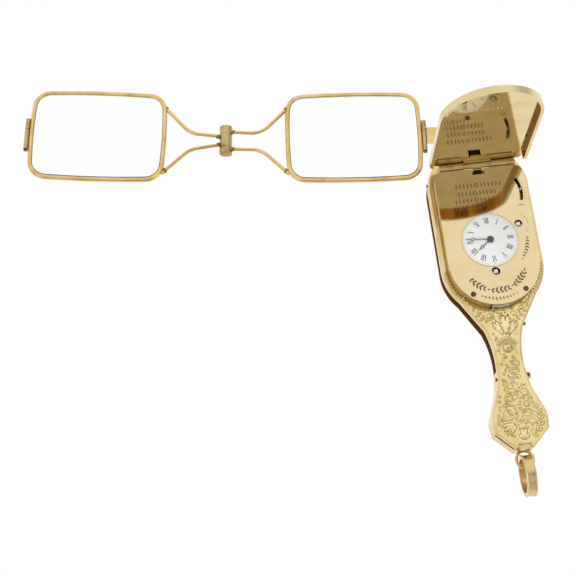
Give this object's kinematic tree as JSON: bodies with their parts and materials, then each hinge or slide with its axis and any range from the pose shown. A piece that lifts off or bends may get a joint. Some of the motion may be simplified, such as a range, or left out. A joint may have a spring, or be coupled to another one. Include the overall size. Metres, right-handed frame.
{
  "type": "folding lorgnette with a watch",
  "caption": "Folding lorgnette whose slim metal handle holds a small watch under a hinged lid; the two framed lenses fold together at the bridge and swing into the handle.",
  "frame": {"origin": "the middle of the waist of the handle, where the hand grips it, halfway between front and back", "axes": "+Z along the handle from the chain ring towards the lid's hinge, -Y the side of the dial, +X the side away from the open glasses"},
  "size_m": [0.1229, 0.0474, 0.1158],
  "materials": {
    "gold": "warm yellow gold, polished on the watch plate and lid, engraved and softly worn on the handle",
    "movement_brass": "gilt brass, fine matt grain",
    "steel": "polished steel, slightly dulled",
    "blued_steel": "heat-blued steel, dark",
    "enamel": "white vitreous enamel, glossy",
    "glass": "clear, polished"
  },
  "bodies": {
    "case": {"back_plate": "gold", "balance_cock": "movement_brass", "bow": "gold", "bow_post": "gold", "case_knuckles": "gold", "case_pins": "steel", "dial": "enamel", "dial_bezel": "gold", "escape_bridge": "steel", "front_body": "gold", "hairspring": "blued_steel", "handle_block": "gold", "lid_hinge_pin": "steel", "lid_spring": "steel", "movement_pillars": "movement_brass", "movement_plate": "movement_brass", "pivot_screw": "steel", "plate_screws": "steel", "side_collar": "gold", "slot_liner": "gold", "slot_spine": "gold", "train_bridge": "movement_brass", "watch_plate": "gold", "watch_rim": "gold"},
    "lid": {"lid_shell": "gold", "lid_knuckle": "gold"},
    "pivot_bush": {"pivot_bush": "steel"},
    "glasses_right": {"right_rim": "gold", "right_lens": "glass", "right_bridge_wires": "gold", "right_closing_tube": "gold", "right_closing_screw": "steel", "right_bridge_knuckles": "gold", "bridge_pin": "steel", "swing_arm": "gold"},
    "glasses_left": {"left_rim": "gold", "left_lens": "glass", "left_bridge_wires": "gold", "left_closing_tube": "gold", "left_closing_screw": "steel", "left_bridge_knuckle": "gold"},
    "lid_button": {"lid_button": "gold"},
    "lid_latch": {"lid_latch": "steel"},
    "side_button": {"side_button": "gold"},
    "glasses_catch": {"glasses_catch": "steel"},
    "chain_ring": {"chain_ring": "gold"},
    "minute": {"centre_wheel": "movement_brass", "cannon_pinion": "steel", "minute_hand": "blued_steel"},
    "hour": {"hour_wheel": "movement_brass", "hour_hand": "blued_steel"},
    "minute_wheel": {"minute_wheel": "movement_brass"},
    "setting_arbor": {"setting_arbor": "steel"},
    "barrel": {"barrel": "movement_brass"},
    "third_wheel": {"third_wheel": "steel"},
    "fourth_wheel": {"fourth_wheel": "steel"},
    "escape_wheel": {"escape_wheel": "steel"},
    "winding_arbor": {"winding_arbor": "steel"},
    "balance_wheel": {"balance_wheel": "movement_brass"},
    "regulator": {"regulator": "steel"}
  },
  "joints": [
    {"name": "lid_hinge", "type": "hinge", "parent": "case", "child": "lid", "pos_m": [0, -0.0056, 0.04925], "axis": [1, 0, 0], "range_deg": [0, 92], "stiffness_Nm_per_rad": 0.004, "springref_deg": -34.38},
    {"name": "bush_turn", "type": "hinge", "parent": "case", "child": "pivot_bush", "pos_m": [-0.0006, 0, 0.0602], "axis": [0, -1, 0], "range_deg": [0, 15.4], "stiffness_Nm_per_rad": 0.0095, "springref_deg": -25.04},
    {"name": "glasses_swing", "type": "hinge", "parent": "pivot_bush", "child": "glasses_right", "pos_m": [-0.0006, 0, 0.0602], "axis": [0, -1, 0], "range_deg": [0, 79.9], "stiffness_Nm_per_rad": 0.0095, "springref_deg": -25.04},
    {"name": "bridge_fold", "type": "hinge", "parent": "glasses_right", "child": "glasses_left", "pos_m": [-0.06007, 0.0004, 0.0657], "axis": [-0.1198, 0, -0.9928], "range_deg": [0, 180]},
    {"name": "lid_button_press", "type": "slide", "parent": "case", "child": "lid_button", "axis": [0, 1, 0], "range_m": [0, 0.0004], "stiffness_N_per_m": 200, "springref_m": -0.0002},
    {"name": "lid_latch_slide", "type": "slide", "parent": "case", "child": "lid_latch", "axis": [0, 0, 1], "range_m": [0, 0.0004]},
    {"name": "side_button_press", "type": "slide", "parent": "case", "child": "side_button", "axis": [-1, 0, 0], "range_m": [0, 0.0005], "stiffness_N_per_m": 200, "springref_m": -0.0002},
    {"name": "glasses_catch_slide", "type": "slide", "parent": "case", "child": "glasses_catch", "axis": [0, 0, -1], "range_m": [0, 0.0005]},
    {"name": "ring_swing", "type": "hinge", "parent": "case", "child": "chain_ring", "pos_m": [0, 0, -0.02259], "axis": [1, 0, 0], "range_deg": [-33, 33]},
    {"name": "time_train", "type": "hinge", "parent": "case", "child": "minute", "pos_m": [0, 0, 0.02955], "axis": [0, 1, 0], "continuous": true},
    {"name": "hour_turn", "type": "hinge", "parent": "case", "child": "hour", "pos_m": [0, 0, 0.02955], "axis": [0, 1, 0], "continuous": true},
    {"name": "minute_wheel_turn", "type": "hinge", "parent": "case", "child": "minute_wheel", "pos_m": [0.00312, 0, 0.03095], "axis": [0, 1, 0], "continuous": true},
    {"name": "setting_turn", "type": "hinge", "parent": "case", "child": "setting_arbor", "pos_m": [0.00741, 0, 0.03288], "axis": [0, 1, 0], "continuous": true},
    {"name": "barrel_turn", "type": "hinge", "parent": "case", "child": "barrel", "pos_m": [0, 0, 0.02144], "axis": [0, 1, 0], "continuous": true},
    {"name": "third_turn", "type": "hinge", "parent": "case", "child": "third_wheel", "pos_m": [-0.00142, 0, 0.03344], "axis": [0, 1, 0], "continuous": true},
    {"name": "fourth_turn", "type": "hinge", "parent": "case", "child": "fourth_wheel", "pos_m": [-0.00173, 0, 0.037], "axis": [0, 1, 0], "continuous": true},
    {"name": "escape_turn", "type": "hinge", "parent": "case", "child": "escape_wheel", "pos_m": [0.00026, 0, 0.0392], "axis": [0, 1, 0], "continuous": true},
    {"name": "winding_turn", "type": "hinge", "parent": "case", "child": "winding_arbor", "pos_m": [0, 0, 0.02144], "axis": [0, 1, 0], "continuous": true},
    {"name": "balance_swing", "type": "hinge", "parent": "case", "child": "balance_wheel", "pos_m": [0.0019, 0, 0.041], "axis": [0, 1, 0], "range_deg": [-135, 135], "stiffness_Nm_per_rad": 0.000001},
    {"name": "regulator_turn", "type": "hinge", "parent": "case", "child": "regulator", "pos_m": [0.0019, 0, 0.041], "axis": [0, 1, 0], "range_deg": [-18, 18]}
  ],
  "couplings": [
    {"joint": "lid_latch_slide", "follows": "lid_button_press", "ratio": 1},
    {"joint": "glasses_catch_slide", "follows": "side_button_press", "ratio": 1},
    {"joint": "hour_turn", "follows": "time_train", "ratio": 0.083333},
    {"joint": "minute_wheel_turn", "follows": "time_train", "ratio": -0.33333},
    {"joint": "setting_turn", "follows": "time_train", "ratio": 0.4},
    {"joint": "barrel_turn", "follows": "time_train", "ratio": -0.15789},
    {"joint": "third_turn", "follows": "time_train", "ratio": -8},
    {"joint": "fourth_turn", "follows": "time_train", "ratio": 60},
    {"joint": "escape_turn", "follows": "time_train", "ratio": -600}
  ]
}
